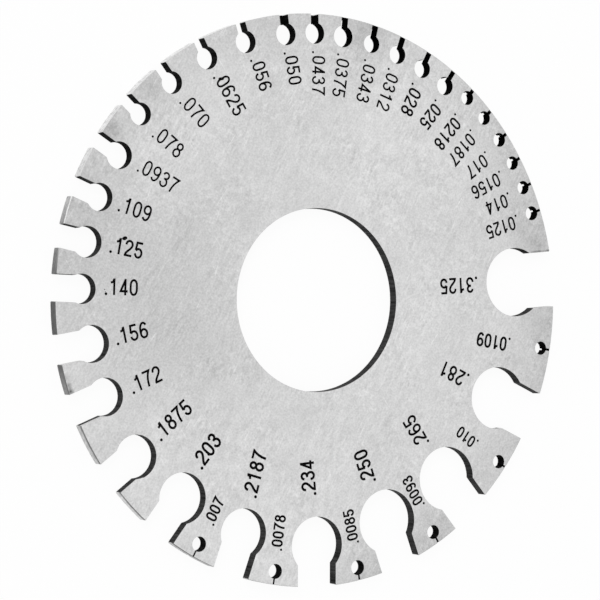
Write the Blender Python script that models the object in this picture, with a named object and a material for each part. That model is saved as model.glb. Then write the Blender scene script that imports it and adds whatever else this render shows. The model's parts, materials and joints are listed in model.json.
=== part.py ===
# Sheet metal gauge: one round steel plate, lying face up, with a graded ring of slots in its rim.
# Each slot is as wide as one gauge number of sheet is thick, and ends in a round relief hole.
# Metres, +Z up. The origin is on the centre hole's axis at the back face. Slot No. 0 opens to +X,
# and the numbers run clockwise seen from the face.
import math
from collections import namedtuple
from itertools import accumulate

import bmesh
import bpy
from mathutils import Matrix, Vector

INCH = 0.0254

# The blank
RIM_DIAMETER = 3.125 * INCH
CENTRE_HOLE_DIAMETER = 1.0 * INCH
PLATE_THICKNESS = 0.0625 * INCH
EDGE_BREAK = 0.0001  # chamfer left by deburring, on both faces
MOUTH_RADIUS = 0.00015  # tooth corners at the slot mouths, as seen on the face

# Sheet is graded by the weight of a square foot, and 640 ounces make it one inch thick.
OUNCES_PER_INCH = 640
SHEET_OUNCES = (
    200, 180, 170, 160, 150, 140, 130, 120, 110, 100,
    90, 80, 70, 60, 50, 45, 40, 36, 32, 28,
    24, 22, 20, 18, 16, 14, 12, 11, 10, 9,
    8, 7, 6.5, 6, 5.5, 5, 4.5,
)

# Runs of equal values, as (value, how many), counted from No. 0
RELIEF_DRILLS = (
    (0.010, 1), (0.009, 3), (0.008, 1), (0.007, 2), (0.006, 1), (0.005, 2),
    (0.004, 2), (0.0036, 2), (0.003, 7), (0.0025, 4), (0.002, 12),
)
RELIEF_DEPTHS = (  # from the rim to the relief hole's centre
    (0.0067, 4), (0.0057, 3), (0.0047, 3), (0.0037, 4), (0.0027, 11), (0.0017, 12),
)
TURNS = (  # degrees from each slot to the next, up to No. 30
    (30, 1), (25, 1), (20, 3), (18, 1), (15, 2), (12, 2),
    (10, 8), (7.1, 2), (7.25, 1), (6.95, 3), (6, 6),
)
RELIEF_STEP = 0.00015  # least step from a slot's wall out to its relief hole's wall

# The tooth from this number on is ground back a little.
GROUND_TOOTH = 1
GROUND_DEPTH = 0.0003

ARC_SAG = 0.000025  # how far a facet may leave the true arc

STEEL_COLOUR = (0.62, 0.62, 0.61, 1.0)
STEEL_METALLIC = 1.0
STEEL_ROUGHNESS = 0.42
SHARP_ANGLE = math.radians(28)

Slot = namedtuple("Slot", "tooth turn half_width relief_radius depth")


def spread(runs):
    """One value for each gauge number, from (value, how many) runs."""
    return [value for value, count in runs for _ in range(count)]


def make_slots():
    """All slots in clockwise order from No. 0.

    Each has the number of the tooth that it is at the start or in the middle of, and its
    turn from +X in degrees.
    """
    turns = [0.0, *accumulate(spread(TURNS))]
    finer = range(len(SHEET_OUNCES) - len(turns))  # the finest slots split the first teeth in half
    teeth = [*range(len(turns)), *finer]
    turns += [(turns[k] + turns[k + 1]) / 2 for k in finer]
    drills, depths = spread(RELIEF_DRILLS), spread(RELIEF_DEPTHS)
    slots = []
    for number, ounces in enumerate(SHEET_OUNCES):
        half_width = ounces / OUNCES_PER_INCH * INCH / 2
        relief_radius = max(drills[number] / 2, half_width + RELIEF_STEP)
        slots.append(
            Slot(teeth[number], turns[number], half_width, relief_radius, depths[number])
        )
    return sorted(slots, key=lambda slot: slot.turn)


def tooth_radius(slot):
    """Rim radius from a slot clockwise to the next one."""
    return RIM_DIAMETER / 2 - (GROUND_DEPTH if slot.tooth == GROUND_TOOTH else 0)


def facets(radius, angle):
    """How many facets keep an arc within ARC_SAG."""
    step = 2 * math.acos(max(1 - ARC_SAG / radius, 0.5))
    return max(2, math.ceil(abs(angle) / step))


def arc(centre, radius, start, stop, count):
    """Points along an arc, both ends included."""
    angles = [start + (stop - start) * k / count for k in range(count + 1)]
    return [centre + radius * Vector((math.cos(a), math.sin(a))) for a in angles]


def mouth(slot, rim_radius, side, inset):
    """Rounded tooth corner beside a slot, from the rim to the slot's wall, in the slot's frame.

    side is -1 for the clockwise wall and 1 for the other. Returns the points and the
    angle at which the corner leaves the rim.
    """
    radius = MOUTH_RADIUS + EDGE_BREAK
    offset = slot.half_width + radius
    centre = Vector((math.sqrt((rim_radius - radius) ** 2 - offset**2), side * offset))
    on_rim = math.atan2(centre.y, centre.x)
    on_wall = -side * math.pi / 2
    count = facets(radius, on_wall - on_rim)
    return arc(centre, radius - inset, on_rim, on_wall, count), on_rim


def relief(slot, inset):
    """The relief hole's wall, from the slot's clockwise wall round to the other."""
    centre = Vector((RIM_DIAMETER / 2 - slot.depth, 0))
    radius = slot.relief_radius + inset
    opening = math.asin((slot.half_width + inset) / radius)
    count = facets(slot.relief_radius, 2 * (math.pi - math.asin(slot.half_width / slot.relief_radius)))
    return arc(centre, radius, -opening, opening - 2 * math.pi, count)


def plate_edge(slots, inset):
    """The plate's whole outer edge, counter-clockwise, moved in by inset."""
    edge = []
    for k in range(len(slots), 0, -1):
        slot, ahead = slots[k % len(slots)], slots[k - 1]
        rim_radius = tooth_radius(ahead)
        arriving, _ = mouth(slot, tooth_radius(slot), -1, inset)
        leaving, leaves_at = mouth(slot, rim_radius, 1, inset)
        spin = Matrix.Rotation(-math.radians(slot.turn), 2)
        edge += [spin @ point for point in arriving + relief(slot, inset) + leaving[::-1]]
        # the tooth's top, on to the next slot's corner
        _, arrives_at = mouth(ahead, rim_radius, -1, inset)
        start = leaves_at - math.radians(slot.turn)
        span = (arrives_at - math.radians(ahead.turn) - start) % (2 * math.pi)
        top = arc(Vector((0, 0)), rim_radius - inset, start, start + span, facets(rim_radius, span))
        edge += top[1:-1]
    return edge


def hole_edge(inset):
    """The centre hole's edge, clockwise, so that the plate is on its left as on the rim."""
    radius = CENTRE_HOLE_DIAMETER / 2
    circle = arc(Vector((0, 0)), radius + inset, 2 * math.pi, 0, facets(radius, 2 * math.pi))
    return circle[:-1]


def wall(bm, edge_at, levels):
    """Lofts an edge through its levels. Returns the first and last ring's edges."""
    rings = [[bm.verts.new((*p, height)) for p in edge_at(inset)] for inset, height in levels]
    count = len(rings[0])
    for low, high in zip(rings, rings[1:]):
        for k in range(count):
            bm.faces.new((low[k], low[(k + 1) % count], high[(k + 1) % count], high[k]))
    return [
        [bm.edges.get((ring[k], ring[(k + 1) % count])) for k in range(count)]
        for ring in (rings[0], rings[-1])
    ]


def make_plate():
    """The gauge plate: its rim and hole walls lofted with both edges broken, then capped."""
    slots = make_slots()
    levels = (
        (EDGE_BREAK, 0),
        (0, EDGE_BREAK),
        (0, PLATE_THICKNESS - EDGE_BREAK),
        (EDGE_BREAK, PLATE_THICKNESS),
    )
    bm = bmesh.new()
    rim = wall(bm, lambda inset: plate_edge(slots, inset), levels)
    hole = wall(bm, hole_edge, levels)
    for around, within in zip(rim, hole):
        bmesh.ops.triangle_fill(bm, use_beauty=True, edges=around + within)
    bmesh.ops.recalc_face_normals(bm, faces=bm.faces)
    mesh = bpy.data.meshes.new("gauge_plate")
    bm.to_mesh(mesh)
    bm.free()
    mesh.shade_smooth()
    mesh.set_sharp_from_angle(angle=SHARP_ANGLE)
    plate = bpy.data.objects.new("gauge_plate", mesh)
    bpy.context.scene.collection.objects.link(plate)
    return plate


def ground_steel():
    """Bare ground steel sheet."""
    material = bpy.data.materials.new("ground_steel")
    material.use_nodes = True
    shader = material.node_tree.nodes["Principled BSDF"]
    shader.inputs["Base Color"].default_value = STEEL_COLOUR
    shader.inputs["Metallic"].default_value = STEEL_METALLIC
    shader.inputs["Roughness"].default_value = STEEL_ROUGHNESS
    material.diffuse_color = STEEL_COLOUR
    return material


for old in list(bpy.data.objects):
    bpy.data.objects.remove(old)
gauge_plate = make_plate()
gauge_plate.data.materials.append(ground_steel())
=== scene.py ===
import json
import math

import bmesh
import bpy
from mathutils import Matrix, Vector
from mathutils.geometry import delaunay_2d_cdt

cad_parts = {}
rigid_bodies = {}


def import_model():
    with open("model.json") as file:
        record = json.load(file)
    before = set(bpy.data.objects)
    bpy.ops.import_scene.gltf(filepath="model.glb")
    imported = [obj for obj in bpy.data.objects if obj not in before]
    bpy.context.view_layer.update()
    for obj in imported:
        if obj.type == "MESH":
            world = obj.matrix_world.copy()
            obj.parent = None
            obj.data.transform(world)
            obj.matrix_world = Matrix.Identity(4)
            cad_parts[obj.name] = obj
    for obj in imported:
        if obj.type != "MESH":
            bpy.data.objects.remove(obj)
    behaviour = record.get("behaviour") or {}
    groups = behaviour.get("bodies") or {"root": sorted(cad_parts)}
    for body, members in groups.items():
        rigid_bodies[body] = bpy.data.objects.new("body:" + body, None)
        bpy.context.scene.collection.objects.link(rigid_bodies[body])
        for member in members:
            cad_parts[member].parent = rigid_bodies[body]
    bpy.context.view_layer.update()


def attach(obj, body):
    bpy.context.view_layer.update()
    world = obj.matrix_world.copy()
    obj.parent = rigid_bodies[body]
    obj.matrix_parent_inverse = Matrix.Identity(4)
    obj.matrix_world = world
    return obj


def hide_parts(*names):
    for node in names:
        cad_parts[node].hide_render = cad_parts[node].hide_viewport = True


# a sheet metal gauge: one steel plate with a slot for each thickness of sheet and its size beside it
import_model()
millimetre = 0.001
weldDistance = 0.0004  # in millimetres


class Wire:
    # one value between nodes; plain arithmetic on it adds the Math nodes
    def __init__(self, socket):
        self.socket = socket
        self.tree = socket.id_data

    def math(self, operation, *others):
        node = self.tree.nodes.new("ShaderNodeMath")
        node.operation = operation
        for slot, value in zip(node.inputs, (self, *others)):
            plug(value, slot)
        return Wire(node.outputs[0])

    def __add__(self, other):
        return self.math("ADD", other)

    def __sub__(self, other):
        return self.math("SUBTRACT", other)

    def __mul__(self, other):
        return self.math("MULTIPLY", other)

    def __truediv__(self, other):
        return self.math("DIVIDE", other)

    def __neg__(self):
        return self.math("MULTIPLY", -1.0)

    def rest(self):
        # what it leaves of 1
        return self * -1.0 + 1.0

    def above(self, other):
        return self.math("GREATER_THAN", other)

    def below(self, other):
        return self.math("LESS_THAN", other)

    def equals(self, other, within=0.1):
        return self.math("COMPARE", other, within)


def plug(value, socket):
    if isinstance(value, Wire):
        socket.id_data.links.new(value.socket, socket)
    elif value is not None:
        socket.default_value = value


def addNode(tree, kind, values=(), output=0, **settings):
    # values is a tuple in socket order, or a dictionary by socket name
    node = tree.nodes.new(kind)
    for name, setting in settings.items():
        setattr(node, name, setting)
    pairs = values.items() if isinstance(values, dict) else enumerate(values)
    for key, value in pairs:
        plug(value, node.inputs[key])
    return Wire(node.outputs[output])


def vector(tree, x=0.0, y=0.0, z=0.0):
    return addNode(tree, "ShaderNodeCombineXYZ", (x, y, z))


def axesOf(tree, value):
    # a vector's X, Y and Z
    node = tree.nodes.new("ShaderNodeSeparateXYZ")
    plug(value, node.inputs[0])
    return [Wire(socket) for socket in node.outputs]


def addObject(name, data):
    thing = bpy.data.objects.new(name, data)
    bpy.context.scene.collection.objects.link(thing)
    return thing


plateSizes = {  # in millimetres
    "Rim radius": 39.6875,
    "Thickness": 1.5875,
    "Centre hole radius": 12.7,
    "Edge break": 0.03,
    "Edge drop": 0.01,
    "Wall draft": 0.05,
    "Mouth radius": 0.04,
    "Number depth": 0.06,
}
# points along a slot's rounded mouth, its relief hole, the tooth after it, and the centre hole
plateCounts = {"Mouth points": 5, "Relief points": 44, "Tooth points": 14, "Hole points": 144}

ounceInch = 25.4 / 640  # sheet of one ounce to the square foot
sheetOunces = [
    200, 180, 170, 160, 150, 140, 130, 120, 110, 100, 90, 80, 70, 60, 50, 45, 40, 36, 32, 28,
    24, 22, 20, 18, 16, 14, 12, 11, 10, 9, 8, 7, 6.5, 6, 5.5, 5, 4.5,
]
slotRuns = {  # (value, how many), from the widest slot on
    "reliefDrill": [(10, 1), (9, 3), (8, 1), (7, 2), (6, 1), (5, 2), (4, 2), (3.6, 2), (3, 7), (2.5, 4),
                    (2, 12)],
    "reliefDepth": [(6.7, 4), (5.7, 3), (4.7, 3), (3.7, 4), (2.7, 11), (1.7, 12)],
    "step": [(30, 1), (25, 1), (20, 3), (18, 1), (15, 2), (12, 2), (10, 8), (7.1, 2), (7.25, 1),
             (6.95, 3), (6, 6)],  # degrees on to the next slot; the last sizes stand between the first ones
}
reliefStep = 0.15  # least step from a slot's wall to its relief hole's
groundBack = {"tooth": 1, "depth": 0.3}
wallPlay = {0.0: 0.03, 0.3: 0.05}  # how much wider the cutter left each wall, from a half width on
# where each relief hole was really drilled: outwards, counter-clockwise and wider, in hundredths of
# a millimetre
drillDrift = [
    (9, -8, -5), (7, 3, -3), (3, 1, 0), (6, 3, 0), (0, -3, 0), (-1, 4, -1), (2, 3, 1), (-6, 8, -1),
    (-5, -4, 8), (-5, -5, 2), (-8, 1, 1), (-5, 2, 12), (-4, 6, 9), (-5, 1, 5), (-16, -1, 3),
    (-10, 0, 3), (0, 3, 5), (0, 4, 4), (-4, 4, 3), (2, 1, 0), (-1, 2, 0), (2, 0, 1), (3, 4, 5), (6, 3, 5),
    (8, 7, 6), (16, 5, 1), (14, 3, -1), (14, 0, 0), (15, 0, -2), (13, 1, -3), (8, 2, 2), (9, -16, -3),
    (2, 2, -3), (-3, 4, -1), (-8, -5, 4), (-13, -4, 3), (-15, -4, 4),
]


def spread(runs):
    return [value for value, count in runs for _ in range(count)]


def slotTable():
    # one row for each slot, counter-clockwise; angles are measured from +X
    turns = [0.0]
    for step in spread(slotRuns["step"]):
        turns.append(turns[-1] + step)
    whole = len(turns)
    for k in range(len(sheetOunces) - whole):
        turns.append((turns[k] + turns[k + 1]) / 2)
    drills = spread(slotRuns["reliefDrill"])
    depths = spread(slotRuns["reliefDepth"])
    rows = []
    for number, ounces in enumerate(sheetOunces):
        half = ounces * ounceInch / 2
        tooth = number if number < whole else number - whole
        rim = plateSizes["Rim radius"] - (groundBack["depth"] if tooth == groundBack["tooth"] else 0)
        outwards, sideways, wider = (drift / 100 for drift in drillDrift[number])
        depth = depths[number] - outwards
        play = max(value for least, value in wallPlay.items() if half >= least)
        rows.append({
            "number": number, "turn": sideways / (rim - depth) - math.radians(turns[number]),
            "half": half + play, "relief": max(drills[number] / 2 + wider, half + reliefStep),
            "depth": depth, "rimBehind": rim,
        })
    rows.sort(key=lambda row: row["turn"])
    for row, ahead in zip(rows, rows[1:] + rows[:1]):
        row["gap"] = (ahead["turn"] - row["turn"]) % (2 * math.pi)
        row["halfAhead"] = ahead["half"]
        row["rimAhead"] = ahead["rimBehind"]
    return rows


def pointTable(name, rows, keys, place=lambda row: (0, 0, 0)):
    # loose points that carry a row each, for a node tree to read
    mesh = bpy.data.meshes.new(name)
    mesh.from_pydata([place(row) for row in rows], [], [])
    for key in keys:
        mesh.attributes.new(key, "FLOAT", "POINT").data.foreach_set("value", [row[key] for row in rows])
    return addObject(name, mesh)


# the numbers are strokes of a narrow sans, 1 high, each drawn round the middle of its cell
digitMiddle = (0.324, 0.5)
dotCell = 0.324
dotSpot = (0.162, 0.07)
dotRadius = 0.088
strokeWidth = 0.14
strokeShrink = (0.95, 0.97)  # keeps the digits' outer size with the bolder line
shortestLine = 0.026  # points nearer than this are left out of an outline
sharpestMitre = 0.35


def bow(centre, radii, start, stop, steps):
    # points along an ellipse, angles in degrees
    angles = [math.radians(start + (stop - start) * k / steps) for k in range(steps + 1)]
    return [(centre[0] + radii[0] * math.cos(a), centre[1] + radii[1] * math.sin(a)) for a in angles]


def digitStrokes():
    zero = bow((0.324, 0.655), (0.212, 0.29), 0, 180, 9) + bow((0.324, 0.345), (0.212, 0.29), 180, 360, 9)
    bowl = bow((0.324, 0.305), (0.22, 0.25), 0, 330, 13)
    six = bow((0.335, 0.74), (0.195, 0.205), 14, 90, 3)[:-1]
    six += bow((0.345, 0.5), (0.241, 0.445), 90, 180, 6) + [(0.104, 0.31)]

    def upsideDown(path):
        return [(2 * digitMiddle[0] - x, 2 * digitMiddle[1] - y) for x, y in path]

    return {
        "0": [(zero, True)],
        "1": [([(0.36, 0), (0.36, 1)], False),
              ([(0.115, 0.755), (0.2, 0.762), (0.27, 0.795), (0.31, 0.85), (0.325, 0.95)], False)],
        "2": [(bow((0.32, 0.715), (0.215, 0.23), 186, -12, 9)
               + [(0.49, 0.575), (0.4, 0.455), (0.25, 0.31), (0.145, 0.18), (0.1, 0.05)], False),
              ([(0.045, 0.052), (0.57, 0.052)], False)],
        "3": [(bow((0.315, 0.748), (0.195, 0.197), 178, -90, 9), False),
              (bow((0.315, 0.3), (0.225, 0.247), 90, -182, 10), False),
              ([(0.235, 0.548), (0.33, 0.548)], False)],
        "4": [([(0.435, 0), (0.435, 1)], False), ([(0.425, 0.93), (0.118, 0.25), (0.6, 0.25)], False)],
        "5": [([(0.55, 0.94), (0.155, 0.94), (0.112, 0.47)], False),
              (bow((0.315, 0.315), (0.222, 0.262), 148, -172, 12), False)],
        "6": [(six, False), (bowl, True)],
        "7": [([(0.05, 0.94), (0.555, 0.94), (0.44, 0.76), (0.35, 0.56), (0.285, 0.31), (0.255, 0)], False)],
        "8": [(bow((0.324, 0.748), (0.185, 0.198), 0, 330, 11), True),
              (bow((0.324, 0.3), (0.218, 0.247), 0, 330, 11), True)],
        "9": [(upsideDown(six), False), (upsideDown(bowl), True)],
    }


def strokeQuads(path, closed, width, points, quads):
    # a ribbon round a path, mitred at its corners
    first = len(points)
    count = len(path)
    for k in range(count):
        here = Vector(path[k])
        normals = []
        for a, b in ((k - 1, k), (k, k + 1)):
            if closed or (a >= 0 and b < count):
                way = Vector(path[b % count]) - Vector(path[a % count])
                normals.append(Vector((-way.y, way.x)).normalized())
        middle = sum(normals, Vector((0, 0))).normalized()
        reach = width / 2 / max(middle.dot(normals[0]), sharpestMitre)
        points += [here - middle * reach, here + middle * reach]
    for k in range(count if closed else count - 1):
        a, b = first + 2 * k, first + 2 * ((k + 1) % count)
        quads.append([a, b, b + 1, a + 1])


def unionLoops(points, quads):
    # the outline of overlapping faces, with the filled side on the left
    spots, _, triangles, _, _, covers = delaunay_2d_cdt(points, [], quads, 0, 0.00001)
    sides = {(t[k - 1], t[k]) for t, cover in zip(triangles, covers) if cover for k in range(3)}
    follow = {a: b for a, b in sides if (b, a) not in sides}
    loops = []
    while follow:
        start = min(follow)
        loop, spot = [], start
        while spot in follow:
            if not loop or (spots[spot] - loop[-1]).length > shortestLine:
                loop.append(spots[spot])
            spot = follow.pop(spot)
        if (loop[0] - loop[-1]).length < shortestLine:
            loop.pop()
        loops.append(loop)
    return loops


numberTexts = (
    ".3125 .281 .265 .250 .234 .2187 .203 .1875 .172 .156 .140 .125 .109 .0937 .078 .070 .0625 .056 .050 "
    ".0437 .0375 .0343 .0312 .028 .025 .0218 .0187 .017 .0156 .014 .0125 .0109 .010 .0093 .0085 .0078 .007"
).split()
numberPlaces = [  # (radius of the point, baseline's height over the slot's radius, tilt in degrees)
    (26.38, -1.27, -1.7), (27.05, -1.08, -0.7), (26.87, -1.24, -6.2), (26.77, -0.25, -0.6),
    (26.77, 0.18, 4.8), (28.65, -0.18, 3.9), (29.07, -0.01, -2.3), (30.63, -0.65, 2.4),
    (30.85, -1.24, 0.3), (31.15, -0.83, 2.7), (32.38, -0.66, 0.3), (32.32, -0.67, 1.6),
    (32.70, -0.68, 4.0), (32.58, -0.38, 3.2), (33.50, -1.14, 4.2), (33.97, -0.83, 6.1),
    (34.12, -0.47, 4.7), (34.28, -0.14, 2.0), (34.30, -0.72, 3.0), (34.33, -0.48, -1.4),
    (34.37, -0.70, -2.6), (34.48, -0.66, -0.3), (34.55, -0.79, 1.0), (34.35, -0.57, 0.7),
    (34.42, -0.27, -6.5), (34.95, -0.15, -0.7), (35.12, -0.44, 2.7), (35.00, -0.19, -1.4),
    (35.47, -0.24, -4.6), (35.25, -0.52, -4.0), (35.27, -0.69, -1.2), (32.47, -0.51, 0.8),
    (33.25, -0.38, 0.4), (33.57, -0.82, -1.0), (34.32, -0.78, 1.4), (34.82, -0.48, 1.8),
    (34.57, -0.75, 1.3),
]
numberRuns = {  # (value, how many), from the widest slot on
    "height": [(2.27, 17), (2.15, 7), (2.04, 8), (1.74, 5)],
    "pitch": [(1.474, 17), (1.408, 7), (1.328, 8), (1.127, 5)],
    "line": [(0.335, 3), (0.36, 4), (0.335, 1), (0.31, 4), (0.293, 1), (0.26, 3), (0.289, 1), (0.283, 2),
             (0.268, 2), (0.277, 2), (0.318, 3), (0.293, 3), (0.3, 2), (0.344, 1), (0.302, 5)],
    "dot": [(0.22, 3), (0.235, 4), (0.216, 1), (0.208, 4), (0.191, 1), (0.167, 3), (0.187, 1), (0.184, 2),
            (0.175, 4), (0.196, 1), (0.176, 2), (0.17, 3), (0.187, 2), (0.203, 1), (0.177, 5)],
}
# where ink ran beside a digit: middle, half sizes and lean of the blot
blots = {
    (11, "2"): ((-0.055, 1.02), (0.18, 0.115), 25),
    (16, "0"): ((0.115, 0.46), (0.1, 0.2), -33),
    (6, "0"): ((0.09, 0.26), (0.075, 0.09), 0),
}
# stray specks of ink: number, place along and above the line from its point, and radius, in millimetres
specks = [(10, -0.22, 0.55, 0.07), (10, -0.07, 0.29, 0.055)]


def digitLoops(name, blot=None):
    points, quads = [], []
    for path, closed in digitStrokes().get(name, []):
        path = [tuple(m + (c - m) * s for c, m, s in zip(p, digitMiddle, strokeShrink)) for p in path]
        strokeQuads(path, closed, strokeWidth, points, quads)

    def addPatch(outline):
        quads.append(list(range(len(points), len(points) + len(outline))))
        points.extend(outline)

    if name == ".":
        addPatch([Vector(p) for p in bow(dotSpot, (dotRadius, dotRadius), 22.5, 337.5, 7)])
    if blot:
        spot, radii, lean = blot
        turn = Matrix.Rotation(math.radians(lean), 2)
        addPatch([Vector(spot) + turn @ Vector(p) for p in bow((0, 0), radii, 0, 324, 9)])
    return unionLoops(points, quads)


def makeDigitShapes():
    # one flat curve for each shape; a collection gives its children in the order of their names
    shapes = {name: digitLoops(name) for name in "0123456789."}
    for (number, name), spot in blots.items():
        shapes[f"{name}blot{number:02}"] = digitLoops(name, spot)
    group = bpy.data.collections.new("digitShapes")
    for name, loops in shapes.items():
        curve = bpy.data.curves.new("digit" + name, "CURVE")
        curve.dimensions = "3D"
        for loop in loops:
            spline = curve.splines.new("POLY")
            spline.points.add(len(loop) - 1)
            spline.points.foreach_set("co", [c for p in loop for c in (p[0], p[1], 0, 1)])
            spline.use_cyclic_u = True
        group.objects.link(bpy.data.objects.new("digit" + name, curve))
    return group


def numberTable(slots, shapes):
    # one row for each digit and point of every number
    order = sorted(shape.name for shape in shapes.objects)
    heights, pitches, lines, dots = (spread(numberRuns[key]) for key in ("height", "pitch", "line", "dot"))
    rows = []
    for slot in slots:
        number = slot["number"]
        radius, lift, tilt = numberPlaces[number]
        along = slot["turn"] + math.pi + math.radians(tilt)
        outward = Vector((math.cos(slot["turn"]), math.sin(slot["turn"])))
        start = radius * outward + lift * Vector((outward.y, -outward.x))
        way = Vector((math.cos(along), math.sin(along)))
        for place, name in enumerate(numberTexts[number]):
            if place == 0:
                offset = -dotCell / 2 * heights[number]
                swell = dots[number] - dotRadius * heights[number]
            else:
                offset = dotCell / 2 * heights[number] + pitches[number] * (place - 1)
                swell = (lines[number] - strokeWidth * heights[number]) / 2
            shape = "digit" + name + (f"blot{number:02}" if (number, name) in blots else "")
            rows.append({"shape": order.index(shape), "along": along, "size": heights[number],
                         "swell": swell, "spot": start + way * offset})
        for owner, right, above, radius in specks:
            if owner == number:
                size = radius / dotRadius
                lift = above + dotSpot[1] * (heights[number] - size)
                spot = start + way * (right - dotSpot[0] * size) + Vector((-way.y, way.x)) * lift
                rows.append({"shape": order.index("digit."), "along": along, "size": size,
                             "swell": 0.0, "spot": spot})
    return rows


def newTree(name, sockets):
    tree = bpy.data.node_groups.new(name, "GeometryNodeTree")
    for label, kind, way in sockets:
        tree.interface.new_socket(label, in_out=way, socket_type="NodeSocket" + kind)
    entry = tree.nodes.new("NodeGroupInput")
    leave = tree.nodes.new("NodeGroupOutput")
    return tree, {s.name: Wire(s) for s in entry.outputs if s.name}, leave


def useGroup(tree, group, values):
    node = tree.nodes.new("GeometryNodeGroup")
    node.node_tree = group
    for key, value in values.items():
        plug(value, node.inputs[key])
    return {out.name: Wire(out) for out in node.outputs}


def joinAll(tree, *parts):
    node = tree.nodes.new("GeometryNodeJoinGeometry")
    for part in parts:
        plug(part, node.inputs[0])
    return Wire(node.outputs[0])


def namedValue(tree, key):
    return addNode(tree, "GeometryNodeInputNamedAttribute", (key,), data_type="FLOAT")


def rowValue(tree, table, key, row):
    # what one point of a table says
    return addNode(tree, "GeometryNodeSampleIndex", (table, namedValue(tree, key), row), data_type="FLOAT",
                   domain="POINT")


def makeArcSpot():
    # the point at a share of an arc, for an arc round a centre
    tree, ins, leave = newTree("arcSpot", [
        ("Centre X", "Float", "INPUT"), ("Centre Y", "Float", "INPUT"), ("Radius", "Float", "INPUT"),
        ("Start", "Float", "INPUT"), ("Stop", "Float", "INPUT"), ("Share", "Float", "INPUT"),
        ("Spot", "Vector", "OUTPUT")])
    angle = ins["Start"] + (ins["Stop"] - ins["Start"]) * ins["Share"]
    x = ins["Centre X"] + ins["Radius"] * angle.math("COSINE")
    y = ins["Centre Y"] + ins["Radius"] * angle.math("SINE")
    plug(vector(tree, x, y), leave.inputs["Spot"])
    return tree


def makeMouthArc():
    # a tooth's rounded corner beside a slot, in that slot's frame, for the wall at Side -1 or 1
    tree, ins, leave = newTree("mouthArc", [
        ("Rim", "Float", "INPUT"), ("Half", "Float", "INPUT"), ("Side", "Float", "INPUT"),
        ("Corner", "Float", "INPUT"), ("Centre X", "Float", "OUTPUT"), ("Centre Y", "Float", "OUTPUT"),
        ("On rim", "Float", "OUTPUT"), ("On wall", "Float", "OUTPUT")])
    offset = ins["Half"] + ins["Corner"]
    reach = ins["Rim"] - ins["Corner"]
    centreX = (reach * reach - offset * offset).math("SQRT")
    centreY = ins["Side"] * offset
    plug(centreX, leave.inputs["Centre X"])
    plug(centreY, leave.inputs["Centre Y"])
    plug(centreY.math("ARCTAN2", centreX), leave.inputs["On rim"])
    plug(ins["Side"] * (-math.pi / 2), leave.inputs["On wall"])
    return tree


def makeEdgeSpot(slots):
    # the plate's outer edge: the point for a place along it, moved in by Inset; Draft narrows the slots
    tree, ins, leave = newTree("edgeSpot", [
        ("Slots", "Geometry", "INPUT"), ("Place", "Float", "INPUT"), ("Inset", "Float", "INPUT"),
        ("Draft", "Float", "INPUT"), ("Rim radius", "Float", "INPUT"), ("Corner", "Float", "INPUT"),
        ("Spot", "Vector", "OUTPUT")])
    mouth, relief, tooth = (plateCounts[key] for key in ("Mouth points", "Relief points", "Tooth points"))
    each = 2 * mouth + relief + tooth
    passed = (ins["Place"] / float(each)).math("FLOOR")
    index = passed.math("MODULO", float(len(slots)))
    place = ins["Place"] - passed * float(each)

    def read(key):
        return rowValue(tree, ins["Slots"], key, index)

    turn, half, radius, depth = read("turn"), read("half"), read("relief"), read("depth")
    rimAhead, rimBehind = read("rimAhead") - ins["Draft"], read("rimBehind") - ins["Draft"]
    corner, inset = ins["Corner"], ins["Inset"] - ins["Draft"]

    def mouthAt(rim, halfWidth, side):
        return useGroup(tree, mouthArc, {"Rim": rim, "Half": halfWidth, "Side": side, "Corner": corner})

    def spotOn(centreX, centreY, reach, start, stop, share):
        return useGroup(tree, arcSpot, {"Centre X": centreX, "Centre Y": centreY, "Radius": reach,
                                        "Start": start, "Stop": stop, "Share": share})["Spot"]

    arrive = mouthAt(rimBehind, half, -1.0)
    depart = mouthAt(rimAhead, half, 1.0)
    onward = mouthAt(rimAhead, read("halfAhead"), -1.0)
    opening = ((half + inset) / (radius + inset)).math("ARCSINE")
    marks = [mouth, mouth + relief, 2 * mouth + relief]
    arcs = [
        spotOn(arrive["Centre X"], arrive["Centre Y"], corner - inset, arrive["On rim"], arrive["On wall"],
               place / float(mouth - 1)),
        spotOn(ins["Rim radius"] - depth, 0.0, radius + inset, -opening, opening - 2 * math.pi,
               (place - float(marks[0])) / float(relief - 1)),
        spotOn(depart["Centre X"], depart["Centre Y"], corner - inset, depart["On wall"], depart["On rim"],
               (place - float(marks[1])) / float(mouth - 1)),
        spotOn(0.0, 0.0, rimAhead - inset, depart["On rim"], onward["On rim"] + read("gap"),
               (place - float(marks[2]) + 1.0) / float(tooth + 1)),
    ]
    part = place.above(marks[0] - 0.5) + place.above(marks[1] - 0.5) + place.above(marks[2] - 0.5)
    choose = tree.nodes.new("GeometryNodeIndexSwitch")
    choose.data_type = "VECTOR"
    while len(choose.index_switch_items) < len(arcs):
        choose.index_switch_items.new()
    for socket, value in zip(choose.inputs, (part, *arcs)):
        plug(value, socket)
    turned = addNode(tree, "ShaderNodeVectorRotate", {"Vector": Wire(choose.outputs[0]), "Angle": turn},
                     rotation_type="Z_AXIS")
    plug(turned, leave.inputs["Spot"])
    return tree, each * len(slots), each


def makeHoleSpot():
    # the centre hole's edge, clockwise so that the steel lies on the same side as along the rim
    tree, ins, leave = newTree("holeSpot", [
        ("Place", "Float", "INPUT"), ("Inset", "Float", "INPUT"), ("Hole radius", "Float", "INPUT"),
        ("Spot", "Vector", "OUTPUT")])
    angle = ins["Place"] * (-2 * math.pi / plateCounts["Hole points"])
    radius = ins["Hole radius"] + ins["Inset"]
    spot = useGroup(tree, arcSpot, {"Radius": radius, "Start": angle, "Stop": angle})["Spot"]
    plug(spot, leave.inputs["Spot"])
    return tree


arcSpot = makeArcSpot()
mouthArc = makeMouthArc()


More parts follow.
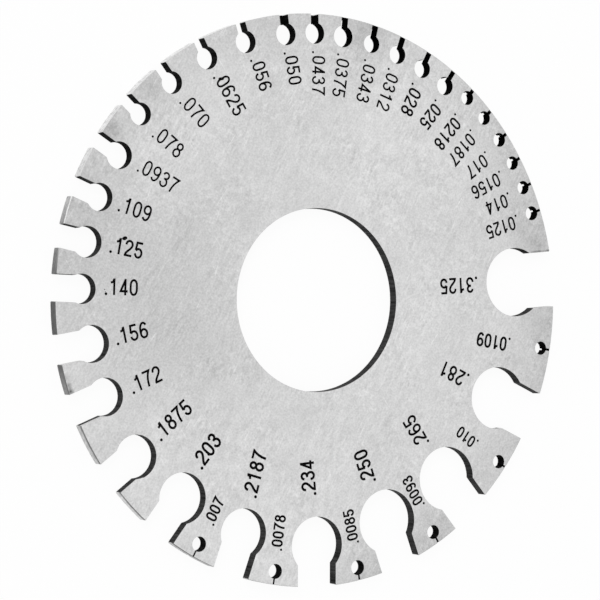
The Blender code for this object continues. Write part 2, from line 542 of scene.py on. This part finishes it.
def makePlateTree(slots, slotPoints, digitPoints, digitShapes, finishes):
    tree, ins, leave = newTree("gaugePlate", [("Geometry", "Geometry", "INPUT")]
                               + [(name, "Float", "INPUT") for name in plateSizes]
                               + [("Geometry", "Geometry", "OUTPUT")])
    for item in tree.interface.items_tree:
        if item.in_out == "INPUT" and item.name in plateSizes:
            item.default_value = plateSizes[item.name]
    thickness, edgeBreak, edgeDrop = ins["Thickness"], ins["Edge break"], ins["Edge drop"]
    index = addNode(tree, "GeometryNodeInputIndex")
    row = index.math("MODULO", 4.0)
    column = (index / 4.0).math("FLOOR")
    # rows 0 to 3 run from the back face's edge, over both broken edges, to the numbered face's
    inner = row.equals(1.5, 0.75)
    inset = edgeBreak * inner.rest()
    upper = row.above(1.5)
    draft = upper.rest() * ins["Wall draft"]
    height = upper * thickness + (upper * -2.0 + 1.0) * inner * edgeDrop

    edgeSpot, edgeCount, each = makeEdgeSpot(slots)
    slotInfo = addNode(tree, "GeometryNodeObjectInfo", {"Object": slotPoints}, output="Geometry")
    edge = useGroup(tree, edgeSpot, {
        "Slots": slotInfo, "Place": column, "Inset": inset, "Draft": draft, "Rim radius": ins["Rim radius"],
        "Corner": ins["Mouth radius"] + edgeBreak})["Spot"]
    hole = useGroup(tree, makeHoleSpot(), {
        "Place": column, "Inset": inset - draft,
        "Hole radius": ins["Centre hole radius"] + max(wallPlay.values())})["Spot"]

    def stamp(mesh, name, value):
        # gives every face a value by name
        values = {"Geometry": mesh, "Name": name, "Value": value}
        return addNode(tree, "GeometryNodeStoreNamedAttribute", values, data_type="FLOAT", domain="FACE")

    def weld(mesh):
        return addNode(tree, "GeometryNodeMergeByDistance", {"Geometry": mesh, "Distance": weldDistance})

    # a column has three faces: the wall in the middle and a broken edge on each side of it
    faceColumn = (index / 3.0).math("FLOOR")
    wallFace = index.math("MODULO", 3.0).equals(1.0)
    facePlace = faceColumn.math("MODULO", float(each))
    cutStart = plateCounts["Mouth points"] - 1.5
    cutStop = cutStart + plateCounts["Relief points"] + 1
    cutFace = facePlace.above(cutStart) * facePlace.below(cutStop)
    # 1 on a cut wall, 2 on a tooth's end and its broken edges, 0 on the other broken edges
    edgeFinish = cutFace * wallFace + cutFace.rest() * 2.0
    # how wide the opening is that a wall bounds
    room = rowValue(tree, slotInfo, "relief", (faceColumn / float(each)).math("FLOOR"))
    walls = []
    for spot, count, finish, reach in (
            (edge, edgeCount, edgeFinish, room),
            (hole, plateCounts["Hole points"], wallFace, ins["Centre hole radius"])):
        grid = addNode(tree, "GeometryNodeMeshGrid", {"Vertices X": count + 1, "Vertices Y": 4})
        lifted = addNode(tree, "ShaderNodeVectorMath", (spot, vector(tree, z=height)), operation="ADD")
        placed = addNode(tree, "GeometryNodeSetPosition", {"Geometry": grid, "Position": lifted})
        marked = stamp(stamp(placed, "finish", finish), "room", reach)
        walls.append(weld(marked))

    # the numbers' outlines, swollen to the width of the line that was cut
    digitInfo = addNode(tree, "GeometryNodeObjectInfo", {"Object": digitPoints}, output="Geometry")
    shapeInfo = addNode(tree, "GeometryNodeCollectionInfo", {
        "Collection": digitShapes, "Separate Children": True, "Reset Children": True})
    size = namedValue(tree, "size")
    placedDigits = addNode(tree, "GeometryNodeInstanceOnPoints", {
        "Points": digitInfo, "Instance": shapeInfo, "Pick Instance": True,
        "Instance Index": namedValue(tree, "shape"), "Rotation": vector(tree, z=namedValue(tree, "along")),
        "Scale": vector(tree, size, size, 1.0)})
    outlines = addNode(tree, "GeometryNodeRealizeInstances", (placedDigits,))
    tangent = axesOf(tree, addNode(tree, "GeometryNodeInputTangent"))
    outward = vector(tree, tangent[1], -tangent[0])
    swell = addNode(tree, "ShaderNodeVectorMath", {"Vector": outward, "Scale": namedValue(tree, "swell")},
                    operation="SCALE")
    outlines = addNode(tree, "GeometryNodeSetPosition", {"Geometry": outlines, "Offset": swell})

    def rings(top):
        # the walls' upper or lower edges, as closed curves
        z = axesOf(tree, addNode(tree, "GeometryNodeInputPosition"))[2]
        near = z.above(thickness - edgeDrop / 4.0) if top else z.below(edgeDrop / 4.0)
        return [addNode(tree, "GeometryNodeMeshToCurve", (wall, near)) for wall in walls]

    def raised(part, height):
        return addNode(tree, "GeometryNodeSetPosition", {"Geometry": part, "Offset": vector(tree, z=height)})

    def fill(curves, height):
        return raised(addNode(tree, "GeometryNodeFillCurve", (joinAll(tree, *curves),)), height)

    numberedFace = fill([*rings(True), outlines], thickness)
    backFace = addNode(tree, "GeometryNodeFlipFaces", (fill(rings(False), 0.0),))
    lines = raised(addNode(tree, "GeometryNodeCurveToMesh", (outlines,)), thickness)
    sides = addNode(tree, "GeometryNodeExtrudeMesh", {
        "Mesh": lines, "Offset": vector(tree, z=-ins["Number depth"]), "Offset Scale": 1.0}, mode="EDGES")
    floors = fill([outlines], thickness - ins["Number depth"])

    faces = stamp(joinAll(tree, numberedFace, backFace), "finish", 0.0)
    ink = stamp(joinAll(tree, sides, floors), "finish", 3.0)
    whole = weld(joinAll(tree, *walls, faces, ink))
    whole = addNode(tree, "GeometryNodeTransform", {"Geometry": whole, "Scale": (millimetre,) * 3})
    whole = addNode(tree, "GeometryNodeRealizeInstances", (whole,))
    for finish, material in enumerate(finishes):
        chosen = namedValue(tree, "finish").equals(float(finish))
        whole = addNode(tree, "GeometryNodeSetMaterial", {
            "Geometry": whole, "Selection": chosen, "Material": material})
    plug(whole, leave.inputs[0])
    return tree


def runTree(name, tree, sizes):
    # evaluates a tree once on an empty mesh and keeps the plain result
    source = addObject(name + "Source", bpy.data.meshes.new(name + "Source"))
    modifier = source.modifiers.new("build", "NODES")
    modifier.node_group = tree
    for item in tree.interface.items_tree:
        if item.in_out == "INPUT" and item.name in sizes:
            modifier[item.identifier] = float(sizes[item.name])
    bpy.context.view_layer.update()
    ready = source.evaluated_get(bpy.context.evaluated_depsgraph_get())
    mesh = bpy.data.meshes.new_from_object(ready)
    source.modifiers.clear()
    bpy.data.objects.remove(source)
    mesh.name = name
    return addObject(name, mesh)


def newMaterial(name):
    material = bpy.data.materials.new(name)
    material.use_nodes = True
    return material


def setShader(material, values):
    # sets the shader's own sockets
    for key, value in values.items():
        plug(value, material.node_tree.nodes["Principled BSDF"].inputs[key])
    return material


def objectPlace(tree):
    # the spot on the piece, in metres
    return Wire(tree.nodes.new("ShaderNodeTexCoord").outputs["Object"])


def grain(tree, place, size, stretch=(1, 1, 1), turn=0.0, detail=3.0, shift=0.0):
    # noise from 0 to 1 with lumps about size metres wide, drawn out along a direction
    mapped = addNode(tree, "ShaderNodeMapping", {
        "Vector": place, "Rotation": (0, 0, -turn), "Location": (shift, shift, shift)})
    drawnOut = addNode(tree, "ShaderNodeVectorMath", (mapped, tuple(s / size for s in stretch)),
                       operation="MULTIPLY")
    return addNode(tree, "ShaderNodeTexNoise", {"Vector": drawnOut, "Scale": 1.0, "Detail": detail})


def ramp(tree, value, low, high, start, stop):
    # value from low..high, moved to start..stop
    return addNode(tree, "ShaderNodeMapRange", (value, low, high, start, stop))


def sway(tree, noise, start, stop=None):
    # noise moved to start..stop, or with one value to as much below 0 as above it
    if stop is None:
        start, stop = -start, start
    return ramp(tree, noise, 0.3, 0.7, start, stop)


def grey(tree, value):
    node = tree.nodes.new("ShaderNodeCombineColor")
    for socket in node.inputs:
        plug(value, socket)
    return Wire(node.outputs[0])


def aroundPlate(tree, place, stops):
    # a value by the clockwise turn from +X, from (degrees, value) stops
    x, y = axesOf(tree, place)[:2]
    angle = (-y).math("ARCTAN2", x).math("FLOORED_MODULO", 2 * math.pi)
    node = tree.nodes.new("ShaderNodeValToRGB")
    plug(angle / (2 * math.pi), node.inputs[0])
    ends = node.color_ramp.elements
    while len(ends) < len(stops):
        ends.new(0.5)
    for end, (degrees, value) in zip(ends, stops):
        end.position = degrees / 360
        end.color = (value, value, value, 1)
    return Wire(node.outputs[0])


def awayFrom(tree, place, spot=(0, 0, 0)):
    # distance across the plate from a spot, in metres
    gap = addNode(tree, "ShaderNodeVectorMath", (place, spot), operation="SUBTRACT")
    flat = addNode(tree, "ShaderNodeVectorMath", (gap, (1, 1, 0)), operation="MULTIPLY")
    return addNode(tree, "ShaderNodeVectorMath", (flat,), output="Value", operation="LENGTH")


def makeFaceSteel():
    look = {"grey": 0.65, "roughness": 0.44, "cloud": 0.025, "fleck": 0.03, "mottle": 0.065, "dust": 0.06,
            "brush": 0.042, "scratch": 0.12, "tarnish": 0.22}
    # a dark stain along the widest slot's upper jaw, in metres across and along it
    stain = {"across": 0.00405, "half": 0.00008, "fade": 0.00022, "start": 0.0358, "full": 0.037,
             "depth": 0.3}
    # darker patches on the face, and below 0 lighter ones: (x, y, reach) in millimetres, and how much darker
    shades = [
        (-25.6, 4, 18, 0.13), (-19, 10.5, 4, 0.05), (-31, 14, 3, 0.06), (-15, -26, 2, 0.08),
        (-17, -8, 3, 0.06), (10.7, 36, 5, 0.12), (4, 33, 2.5, 0.05), (37, 5.5, 4, 0.14), (34, 9, 5, 0.08),
        (-4.5, 30, 1.5, 0.1), (-23, 30.5, 2.2, 0.12), (-29.6, 25.2, 2.2, 0.18), (-34, 18, 1.6, 0.1),
        (35.5, -6, 5, 0.08), (-28, 19.5, 3.5, 0.09), (31, -11, 4, 0.06), (-8, -30, 14, -0.07),
        (-24, -24, 8, -0.05), (-28.5, -4, 9, 0.045), (-22, -8, 8, 0.035), (-9.7, 12.6, 3.5, 0.07),
        (-11.6, -8.4, 4, 0.06), (14, 20, 14, -0.055), (15, -32.5, 5, 0.06), (-20, -30.5, 5, -0.045),
        (-25.7, -14.7, 4, -0.035), (-38.9, -7.1, 0.7, 0.25), (-38.6, -8.2, 0.6, 0.45),
        (-38.35, -8.95, 0.6, 0.6),
    ]
    material = newMaterial("brushedFace")
    tree = material.node_tree
    place = objectPlace(tree)
    cloud = grain(tree, place, 0.012)
    fleck = grain(tree, place, 0.0014, shift=3.1)
    dust = grain(tree, place, 0.00026, detail=2.0, shift=5.3)
    tone = sway(tree, cloud, look["cloud"]) + sway(tree, fleck, look["fleck"])
    tone = tone + sway(tree, dust, look["dust"])
    # finer mottling and brushing, stronger in some places than in others
    where = ramp(tree, grain(tree, place, 0.005, detail=2.0, shift=9.2), 0.45, 0.6, 0.1, 1.0)
    mottle = grain(tree, place, 0.0006, detail=4.0, shift=6.6)
    tone = tone + sway(tree, mottle, look["mottle"]) * where
    for turn, size, shift in ((60, 0.0003, 1.7), (52, 0.00045, 4.4)):
        brush = grain(tree, place, size, (0.18, 1, 1), math.radians(turn), 2.0, shift)
        where = ramp(tree, grain(tree, place, 0.004, detail=2.0, shift=shift + 2.5), 0.45, 0.6, 0.1, 1.0)
        tone = tone + sway(tree, brush, look["brush"]) * where
    # fine scratches, few and far between
    for turn, shift in ((58, 0.4), (49, 2.2), (66, 6.1), (118, 8.3)):
        line = grain(tree, place, 0.0002, (0.035, 1, 1), math.radians(turn), 1.0, shift)
        where = ramp(tree, grain(tree, place, 0.006, detail=2.0, shift=shift + 1.5), 0.52, 0.62, 0.0, 1.0)
        tone = tone + ramp(tree, line, 0.68, 0.76, 0.0, look["scratch"]) * where
    # duller steel towards the ends of the teeth that are handled most
    rim = ramp(tree, awayFrom(tree, place), 0.0325, 0.0395, 0.0, 1.0)
    dull = aroundPlate(tree, place, [
        (0, 0.75), (20, 0.7), (50, 0.55), (72, 0.85), (88, 0.6), (98, 0.05), (172, 0.1), (182, 0.3),
        (205, 0.85), (214, 0.9), (224, 0.6), (240, 0.5), (275, 0.45), (290, 0.5), (305, 0.15), (345, 0.6)])
    tone = tone - rim * dull * ramp(tree, fleck, 0.35, 0.65, 0.3, 1.0) * look["tarnish"]
    for x, y, reach, depth in shades:
        away = awayFrom(tree, place, (x * millimetre, y * millimetre, 0))
        near = ramp(tree, away, 0.0, reach * millimetre, 1.0, 0.0)
        tone = tone - near * ramp(tree, fleck, 0.35, 0.65, 0.5, 1.0) * depth
    x, y = axesOf(tree, place)[:2]
    band = ramp(tree, (y - stain["across"]).math("ABSOLUTE"), stain["half"], stain["fade"], 1.0, 0.0)
    band = band * ramp(tree, x, stain["start"], stain["full"], 0.0, 1.0)
    band = band * ramp(tree, mottle, 0.4, 0.6, 0.4, 1.0)
    tone = tone - band * stain["depth"]
    return setShader(material, {
        "Base Color": grey(tree, tone + look["grey"]), "Metallic": 1.0,
        "Roughness": sway(tree, fleck, look["roughness"] - 0.04, look["roughness"] + 0.04),
        "Normal": addNode(tree, "ShaderNodeBump", {"Height": dust, "Strength": 0.2, "Distance": 0.00002})})


def makeCutSteel():
    look = {"grey": 0.03, "roughness": 0.6, "gloss": 0.03, "narrowShade": 0.25, "holeFrom": 6.0,
            "holeLift": 1.05, "jawHighlight": 22.0, "jawStart": 0.0363, "edgeHighlight": 20.0}
    material = newMaterial("cutWall")
    tree = material.node_tree
    place = objectPlace(tree)
    fromAxis = awayFrom(tree, place)
    streak = grain(tree, place, 0.0003, (1, 1, 0.06))
    # painted shade: the cut walls are near black, blacker on one side of the plate and in the narrow
    # openings, and lighter round the centre hole
    tone = aroundPlate(tree, place, [
        (0, 0.7), (30, 1.0), (160, 1.0), (187, 0.75), (207, 0.6), (218, 0.38), (230, 0.4), (247, 0.6),
        (262, 0.4), (274, 0.15), (288, 0.04), (300, 0.15), (330, 0.2), (350, 0.3)])
    room = addNode(tree, "ShaderNodeAttribute", output="Fac", attribute_name="room")
    tone = tone * ramp(tree, room, 1.0, 2.1, look["narrowShade"], 1.0)
    tone = tone + (tone * -1.0 + look["holeLift"]) * room.above(look["holeFrom"])
    tone = tone * sway(tree, streak, 0.4, 1.7)
    # painted highlight on the widest slot's lower jaw
    jawHighlight = aroundPlate(tree, place, [(0, 0), (5.2, 0), (5.4, 1), (6.9, 1), (7.1, 0), (360, 0)])
    tone = tone + jawHighlight * fromAxis.above(look["jawStart"]) * look["jawHighlight"]
    # painted highlight: a bright strip runs along the face on the lower jaws at the left, given by its share
    # of the wall
    edgeHighlight = aroundPlate(tree, place, [
        (0, 0), (35.2, 0), (35.5, 1), (37.7, 1), (38, 0), (128, 0), (133, 0.03), (148, 0.2), (160, 0.42),
        (166, 0.5), (171, 1.0), (184, 1.0), (187, 0), (360, 0)])
    z = axesOf(tree, place)[2]
    bright = (z / (plateSizes["Thickness"] * millimetre) + edgeHighlight).above(1.0)
    start = aroundPlate(tree, place, [(60, 0.0343), (100, 0.0359)])  # clear of the relief holes, in metres
    tone = tone + bright * fromAxis.above(start) * look["edgeHighlight"]
    return setShader(material, {
        "Base Color": grey(tree, tone * look["grey"]), "Specular IOR Level": tone * look["gloss"],
        "Roughness": look["roughness"]})


def makeToothSteel():
    look = {"metal": 0.6, "roughness": 0.55, "lineWidth": 0.00024, "lineHeight": 0.00158, "lineShare": 0.85}
    material = newMaterial("toothEnd")
    tree = material.node_tree
    place = objectPlace(tree)
    patch = grain(tree, place, 0.0005, detail=4.0)
    # painted light and shade: the tooth ends are lighter or darker round the plate by how the light falls on
    # them
    tone = aroundPlate(tree, place, [
        (0, 0.6), (122, 0.5), (140, 0.7), (158, 0.55), (164, 0.36), (168, 0.24), (172, 0.12), (178, 0.09),
        (185, 0.09), (190, 0.15), (196, 0.26), (200, 0.32), (205, 0.5), (210, 0.68), (222, 0.77), (245, 0.78),
        (330, 0.7)])
    tone = tone * sway(tree, patch, 0.75, 1.25)
    # painted shade and highlight: a fine line along the face, dark on some teeth and bright on others
    z = axesOf(tree, place)[2]
    wander = sway(tree, grain(tree, place, 0.001, detail=2.0, shift=4.0), 0.0001)
    off = (z + wander - look["lineHeight"]).math("ABSOLUTE")
    wide = aroundPlate(tree, place, [(0, 1), (118, 1), (124, 2.2), (160, 1.7), (172, 1)]) * look["lineWidth"]
    line = ramp(tree, off, wide * 0.5, wide * 1.5, 1.0, 0.0)
    lineTone = aroundPlate(tree, place, [
        (0, 0.5), (115, 0.08), (131, 0.02), (139, 0.02), (144, 0.1), (150, 0.03), (157, 0.1), (170, 0.11),
        (190, 0.1), (199, 0.95), (205, 0.95), (209, 0.7), (330, 0.8)])
    tone = tone + (lineTone - tone) * line * look["lineShare"]
    return setShader(material, {
        "Base Color": grey(tree, tone), "Metallic": look["metal"], "Roughness": look["roughness"]})


def makeInk():
    look = {"Base Color": (0.003, 0.003, 0.003, 1), "Roughness": 0.8, "Specular IOR Level": 0.03}
    return setShader(newMaterial("numberBlack"), look)


slots = slotTable()
print("slots:", len(slots))
digitShapes = makeDigitShapes()
numbers = numberTable(slots, digitShapes)
print("digits:", len(numbers))
slotPoints = pointTable("slotPoints", slots, (
    "turn", "half", "relief", "depth", "rimBehind", "rimAhead", "halfAhead", "gap"))
digitPoints = pointTable("digitPoints", numbers, ("shape", "along", "size", "swell"),
                         lambda row: (row["spot"].x, row["spot"].y, 0))
finishes = [makeFaceSteel(), makeCutSteel(), makeToothSteel(), makeInk()]
plateTree = makePlateTree(slots, slotPoints, digitPoints, digitShapes, finishes)
plate = runTree("numberedPlate", plateTree, plateSizes)
for helper in [slotPoints, digitPoints, *digitShapes.objects]:
    bpy.data.objects.remove(helper)
bpy.data.collections.remove(digitShapes)

bm = bmesh.new()
bm.from_mesh(plate.data)
bmesh.ops.recalc_face_normals(bm, faces=bm.faces)
loose = sum(1 for e in bm.edges if len(e.link_faces) != 2)
bm.to_mesh(plate.data)
bm.free()
plate.data.shade_smooth()
plate.data.set_sharp_from_angle(angle=math.radians(28))  # sharper corners than this stay crisp
print("plate:", len(plate.data.vertices), "points,", len(plate.data.polygons), "faces,", loose, "open edges")

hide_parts("gauge_plate")
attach(plate, "root")


def makeFloor():
    look = {"size": 4.0, "grey": 0.9, "roughness": 0.9, "whiteShare": 0.94, "drop": 0.00002}
    mesh = bpy.data.meshes.new("floor")
    half = look["size"] / 2
    corners = ((-half, -half), (half, -half), (half, half), (-half, half))
    mesh.from_pydata([(x, y, -look["drop"]) for x, y in corners], [], [(0, 1, 2, 3)])
    material = newMaterial("paleFloor")
    setShader(material, {"Base Color": (look["grey"],) * 3 + (1,), "Roughness": look["roughness"]})
    tree = material.node_tree
    lit = Wire(tree.nodes["Principled BSDF"].outputs[0])
    white = addNode(tree, "ShaderNodeEmission", {"Color": (1, 1, 1, 1), "Strength": 1.0})
    mixed = addNode(tree, "ShaderNodeMixShader", (seenRays(tree) * look["whiteShare"], lit, white))
    plug(mixed, tree.nodes["Material Output"].inputs[0])
    mesh.materials.append(material)
    return addObject("floor", mesh)


def makeNeckShade(slots):
    # painted shade in the necks of the fine slots: black strips on the floor of the two widest of them, and
    # small black cards that lean in the mouths of the others
    look = {"from": 18, "leanFrom": 20, "wholeFrom": 32, "slide": 0.88, "tongue": 0.35, "least": 0.08,
            "lean": 0.5, "inset": 0.05, "lift": 0.01, "spare": 0.04, "grey": 0.005}
    top, low = plateSizes["Thickness"] - look["lift"], look["lift"]
    corners = []
    for slot in slots:
        if slot["number"] < look["from"]:
            continue
        mouth = slot["rimBehind"] - look["inset"]
        foot = plateSizes["Rim radius"] - slot["depth"] + math.sqrt(slot["relief"] ** 2 - slot["half"] ** 2)
        reach = slot["half"] + look["spare"]
        far, high, heel = reach, top, foot
        if slot["number"] < look["leanFrom"]:
            far, high = slot["half"] - look["slide"], low
        elif slot["number"] < look["wholeFrom"]:
            outward = math.cos(slot["turn"])
            heel = max(foot + look["tongue"] * outward, mouth - look["least"] - look["lean"] * outward)
        for spot in ((mouth, -reach, high), (mouth, far, high), (heel, far, low), (heel, -reach, low)):
            corners.append(Matrix.Rotation(slot["turn"], 3, "Z") @ Vector(spot) * millimetre)
    mesh = bpy.data.meshes.new("neckShade")
    mesh.from_pydata(corners, [], [range(k, k + 4) for k in range(0, len(corners), 4)])
    mesh.materials.append(setShader(newMaterial("neckShade"), {
        "Base Color": (look["grey"],) * 3 + (1,), "Roughness": 1.0, "Specular IOR Level": 0.0}))
    return addObject("neckShade", mesh)


def seenRays(tree):
    # 1 for what the camera sees, directly or in metal
    path = tree.nodes.new("ShaderNodeLightPath")
    rays = [Wire(path.outputs[name]) for name in ("Is Camera Ray", "Is Glossy Ray", "Is Transmission Ray")]
    return rays[0].math("MAXIMUM", rays[1]).math("MAXIMUM", rays[2])


def makeWorld():
    look = {"level": 0.8, "seenExtra": 0.2}
    world = bpy.data.worlds.new("studio")
    world.use_nodes = True
    ground = world.node_tree.nodes["Background"]
    ground.inputs["Color"].default_value = (1, 1, 1, 1)
    plug(seenRays(world.node_tree) * look["seenExtra"] + look["level"], ground.inputs["Strength"])
    bpy.context.scene.world = world


def addLamp(name, place, size, power):
    data = bpy.data.lights.new(name, "AREA")
    data.shape = "DISK"
    data.size = size
    data.energy = power
    lamp = addObject(name, data)
    lamp.location = place
    lamp.rotation_euler = (-Vector(place)).to_track_quat("-Z", "Y").to_euler()


def addCamera():
    # fitted to the rim, the relief holes and the numbers of the photograph, for a square picture
    look = {"lens": 154.83, "film": 36, "place": (-0.1780940, 0.0125675, 0.3113945)}
    right = (0.86680918, -0.07310519, 0.49325193)
    up = (0.08068007, 0.99672233, 0.0059429)
    back = (-0.49206968, 0.03464423, 0.8698662)
    data = bpy.data.cameras.new("camera")
    data.lens = look["lens"]
    data.sensor_width = look["film"]
    camera = addObject("camera", data)
    camera.matrix_world = Matrix.Translation(look["place"]) @ Matrix((right, up, back)).transposed().to_4x4()
    bpy.context.scene.camera = camera


makeFloor()
makeNeckShade(slots)
makeWorld()
addLamp("softLeft", (-0.35, 0.45, 0.5), 0.4, 1.5)
addCamera()
bpy.context.scene.view_settings.view_transform = "Standard"
print("stage and camera ready")
